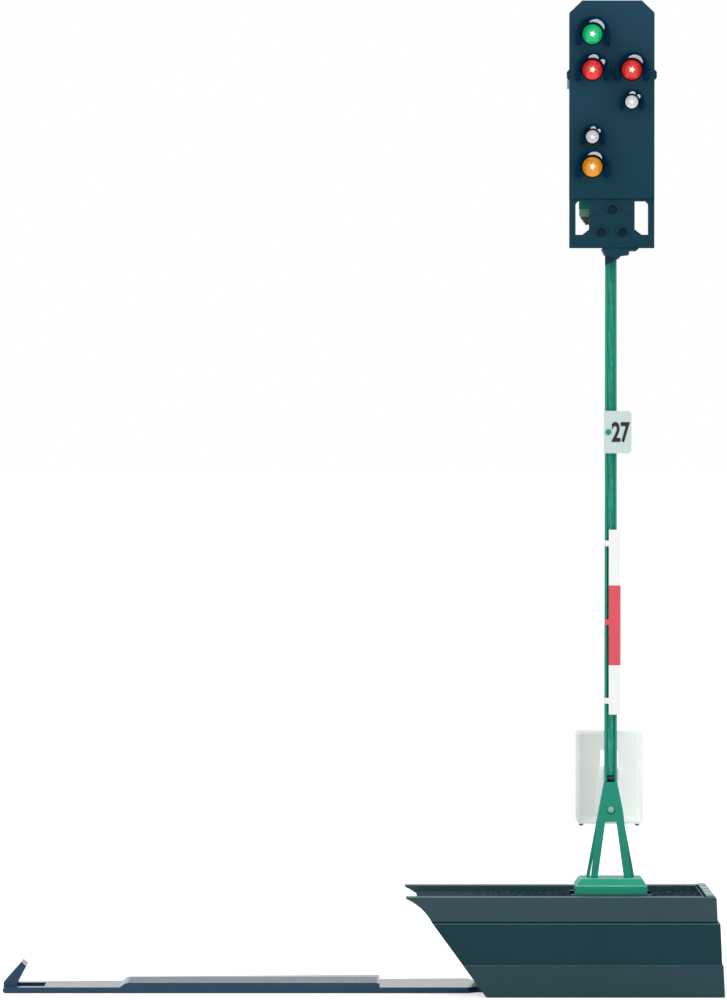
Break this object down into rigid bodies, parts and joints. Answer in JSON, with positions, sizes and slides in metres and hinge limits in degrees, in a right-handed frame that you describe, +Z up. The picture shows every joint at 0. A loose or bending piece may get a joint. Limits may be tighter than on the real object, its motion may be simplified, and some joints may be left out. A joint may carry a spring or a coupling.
{
  "type": "model signal mast",
  "caption": "Model railway colour-light exit signal: green mast with a dark lamp screen on a stepped plug-in base with an under-roadbed clip strip.",
  "frame": {"origin": "on the mast's axis at the middle of the base's depth, in the plane of the base's underside", "axes": "+Z up along the mast; the lamps face -Y; the clip strip runs towards -X"},
  "size_m": [0.0622, 0.014, 0.0859],
  "materials": {
    "slate_plastic": "satin",
    "strip_plastic": "satin",
    "screen_plastic": "matte",
    "hood_plastic": "gloss",
    "green_paint": "satin",
    "green_plastic": "satin",
    "white_enamel": "gloss",
    "sign_enamel": "gloss",
    "black_ink": "matte",
    "cabinet_plastic": "satin",
    "lens_green": "gloss",
    "lens_red": "gloss",
    "lens_yellow": "gloss",
    "lens_white": "gloss",
    "circuit_board": "satin",
    "chip_plastic": "matte",
    "capacitor_can": "satin",
    "socket_plastic": "matte",
    "contact_brass": "polished",
    "screw_steel": "satin",
    "wire_copper": "gloss",
    "led_white": "gloss",
    "resistor_ceramic": "satin",
    "resistor_black": "matte"
  },
  "bodies": {
    "base": {"base_tray": "slate_plastic", "base_ring": "slate_plastic", "base_cover": "slate_plastic", "ballast_inlay": "slate_plastic", "base_screws": "screw_steel", "base_board": "circuit_board", "decoder_chip": "chip_plastic", "board_capacitor": "capacitor_can", "cable_socket": "led_white", "socket_block": "socket_plastic", "socket_contacts": "contact_brass"},
    "signal": {"foot_plate": "green_plastic", "plug_block": "socket_plastic", "plug_pins": "contact_brass", "front_leg_frame": "green_paint", "rear_leg_frame": "green_paint", "gusset_rivet": "green_paint", "mast_channel": "green_paint", "mast_wires": "wire_copper", "mast_sign": "sign_enamel", "plate_strap": "green_paint", "number_plate": "white_enamel", "number_plate_peg": "green_paint", "number_plate_digits": "black_ink", "signal_screen": "screen_plastic", "head_leds": "led_white", "head_board": "circuit_board", "rear_housing": "screen_plastic", "side_clips": "screen_plastic", "lower_panel": "screen_plastic", "mast_collar": "screen_plastic", "head_carrier": "green_paint", "resistor_board": "resistor_ceramic", "resistor_pack": "resistor_black", "lens_green": "lens_green", "hood_green": "hood_plastic", "lens_red_left": "lens_red", "hood_red_left": "hood_plastic", "lens_red_right": "lens_red", "hood_red_right": "hood_plastic", "lens_white_upper": "lens_white", "hood_white_upper": "hood_plastic", "lens_white_lower": "lens_white", "hood_white_lower": "hood_plastic", "lens_yellow": "lens_yellow", "hood_yellow": "hood_plastic"},
    "strip": {"track_strip": "strip_plastic"},
    "hook": {"edge_hook": "strip_plastic"},
    "cabinet": {"cabinet_shell": "cabinet_plastic", "cabinet_pegs": "chip_plastic"}
  },
  "joints": [
    {"name": "mast_plug", "type": "slide", "parent": "base", "child": "signal", "axis": [0, 0, 1], "range_m": [0, 0.008]},
    {"name": "strip_slide", "type": "slide", "parent": "base", "child": "strip", "axis": [-1, 0, 0], "range_m": [0, 0.01]},
    {"name": "hook_flex", "type": "hinge", "parent": "strip", "child": "hook", "pos_m": [-0.05244, -0.0006, 0.00025], "axis": [0, 1, 0], "range_deg": [-15, 0], "stiffness_Nm_per_rad": 0.002},
    {"name": "cabinet_clip", "type": "slide", "parent": "signal", "child": "cabinet", "axis": [0, 1, 0], "range_m": [0, 0.005]}
  ]
}
